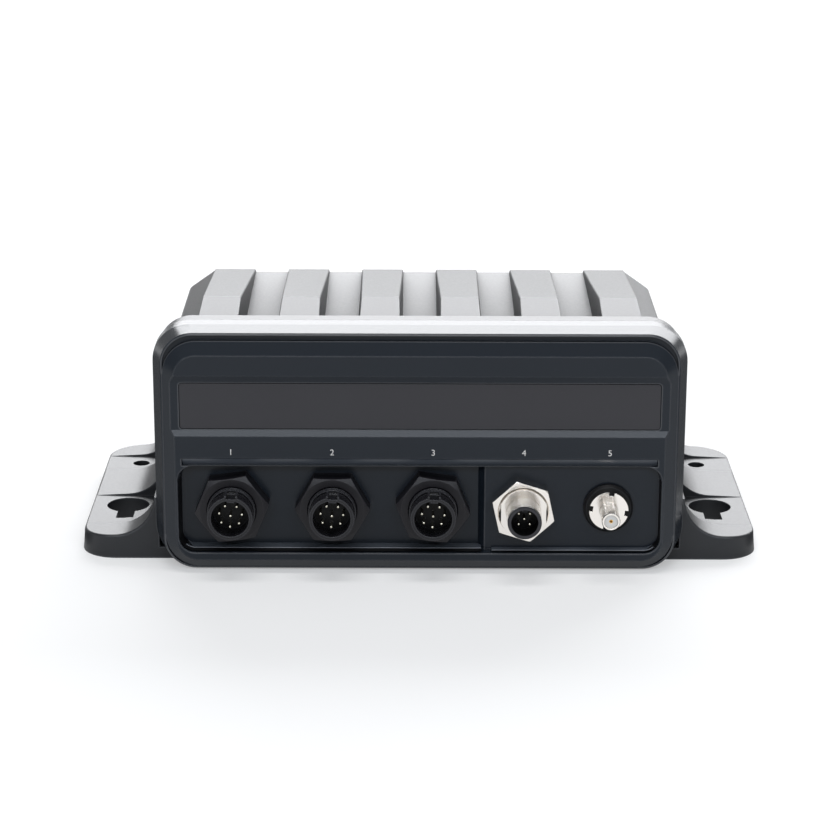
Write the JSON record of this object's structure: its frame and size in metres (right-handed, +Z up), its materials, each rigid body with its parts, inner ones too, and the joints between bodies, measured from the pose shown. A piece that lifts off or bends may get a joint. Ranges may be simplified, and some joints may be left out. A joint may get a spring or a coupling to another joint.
{
  "type": "vhf marine radio",
  "caption": "Hideaway VHF marine radio box with a finned cast housing, mounting wings on both sides, microphone sockets, a network connector and a small coaxial jack at the front",
  "frame": {"origin": "middle of the base's flat underside, halfway across the width and between the chassis ends as laid out", "axes": "+X to the right seen from the front, +Y to the back, +Z up out of the mounting face"},
  "size_m": [0.235, 0.1484, 0.0852],
  "materials": {
    "panel_plastic": "fine-textured charcoal moulding",
    "label_film": "satin charcoal plate, left blank",
    "cast_paint": "satin dark-grey powder coat on a die casting",
    "base_paint": "satin dark-grey powder coat on a die casting",
    "seal_rubber": "black moulded seal",
    "connector_black": "moulded black connector body",
    "nut_black": "moulded black nut",
    "nickel": "bright nickel plating, slightly warm",
    "plated_contact": "silver-plated pins",
    "gold_contact": "gold-plated contact",
    "black_insulation": "black insulating plastic",
    "white_insulation": "white fluoropolymer insulator",
    "gland_plastic": "black nylon cable gland",
    "steel_fastener": "stainless screw",
    "board_green": "solder-masked circuit board",
    "chip_black": "moulded component body",
    "module_lid": "metal-topped power module",
    "pad_grey": "soft heat-transfer pad",
    "tin_can": "tin-plated shield",
    "capacitor_sleeve": "sleeved can capacitor",
    "copper_winding": "enamelled copper winding",
    "ribbon_grey": "grey flat cable",
    "cable_jacket": "jacketed coaxial lead"
  },
  "bodies": {
    "root": {"accessory_gland": "gland_plastic", "accessory_gland_cap": "gland_plastic", "accessory_gland_seal": "seal_rubber", "amplifier_board": "board_green", "amplifier_board_screws": "steel_fastener", "amplifier_module": "module_lid", "antenna_contact": "gold_contact", "antenna_insulator": "white_insulation", "antenna_lead": "cable_jacket", "antenna_relay": "chip_black", "antenna_screws": "steel_fastener", "antenna_socket": "nickel", "audio_amplifier": "chip_black", "base": "base_paint", "base_screws": "steel_fastener", "base_seal": "seal_rubber", "chassis": "cast_paint", "connector_board": "board_green", "filter_capacitors": "capacitor_sleeve", "front_panel": "panel_plastic", "ground_screw": "steel_fastener", "ground_washer": "steel_fastener", "jack_contact": "gold_contact", "jack_insulator": "white_insulation", "jack_ring_nut": "nickel", "jack_shell": "nickel", "jack_washer": "black_insulation", "label_plate": "label_film", "main_board": "board_green", "main_board_screws": "steel_fastener", "mic_insert_1": "black_insulation", "mic_insert_2": "black_insulation", "mic_insert_3": "black_insulation", "mic_nut_1": "nut_black", "mic_nut_2": "nut_black", "mic_nut_3": "nut_black", "mic_pins_1": "plated_contact", "mic_pins_2": "plated_contact", "mic_pins_3": "plated_contact", "mic_seals": "seal_rubber", "mic_shell_1": "connector_black", "mic_shell_2": "connector_black", "mic_shell_3": "connector_black", "network_insert": "black_insulation", "network_nut": "nickel", "network_pins": "plated_contact", "network_seal": "seal_rubber", "network_shell": "nickel", "panel_screws": "steel_fastener", "panel_seal": "seal_rubber", "power_choke": "copper_winding", "power_gland": "gland_plastic", "power_gland_cap": "gland_plastic", "power_gland_seal": "seal_rubber", "processor": "chip_black", "ribbon_cable": "ribbon_grey", "ribbon_plugs": "chip_black", "shield_can": "tin_can", "thermal_pad": "pad_grey"}
  },
  "joints": []
}
